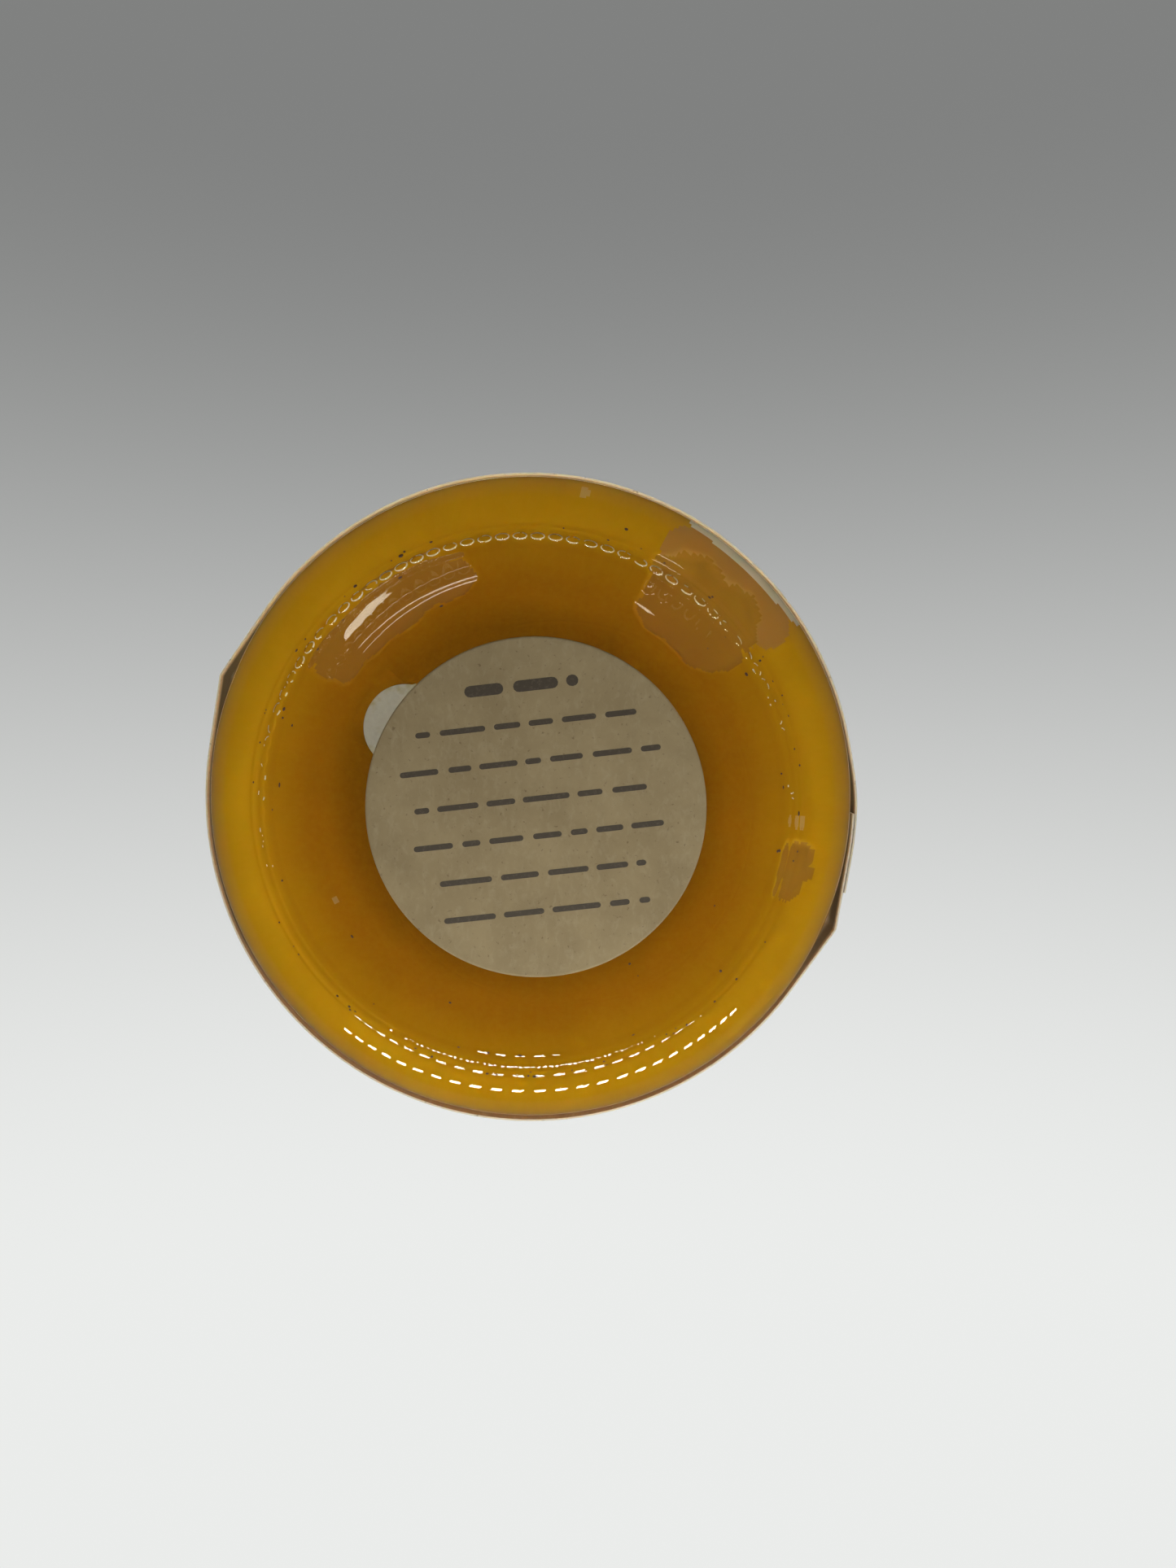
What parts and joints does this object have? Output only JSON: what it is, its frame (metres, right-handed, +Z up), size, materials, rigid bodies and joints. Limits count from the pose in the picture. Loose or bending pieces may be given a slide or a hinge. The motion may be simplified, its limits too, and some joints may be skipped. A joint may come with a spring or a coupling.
{
  "type": "empty candle jar",
  "caption": "Spent clear glass candle jar with a thick base, wick tabs, a layer of amber wax, a round base label and a creased kraft paper band.",
  "frame": {"origin": "centre of the base, on the plane that the jar stands on", "axes": "+Z up along the jar's axis, out of its mouth; the band's creases are at 22.5 and 202.5 degrees from +X about +Z"},
  "size_m": [0.1001, 0.1003, 0.1],
  "materials": {
    "clear_glass": "clear pressed glass, knurled on the bearing ring",
    "amber_wax": "waxy, slightly translucent, stands in for soy and paraffin blend wax",
    "label_paper": null,
    "band_paper": "matt kraft paper, creased",
    "sticker_foam": "white foam adhesive disc",
    "tinned_steel": "tinned sheet steel",
    "cotton_wick": "braided cotton, waxed, charred at the tip"
  },
  "bodies": {
    "jar": {"glass_jar": "clear_glass", "base_label": "label_paper", "wick_sticker_left": "sticker_foam", "wick_sticker_right": "sticker_foam", "wick_tab_left": "tinned_steel", "wick_tab_right": "tinned_steel", "wick_left": "cotton_wick", "wick_right": "cotton_wick"},
    "wax": {"wax_residue": "amber_wax"},
    "band": {"kraft_band": "band_paper"}
  },
  "joints": [
    {"name": "wax_lift", "type": "slide", "parent": "jar", "child": "wax", "axis": [0, 0, 1], "range_m": [0, 0.095]},
    {"name": "band_slide", "type": "slide", "parent": "jar", "child": "band", "axis": [0, 0, 1], "range_m": [0, 0.095]}
  ]
}
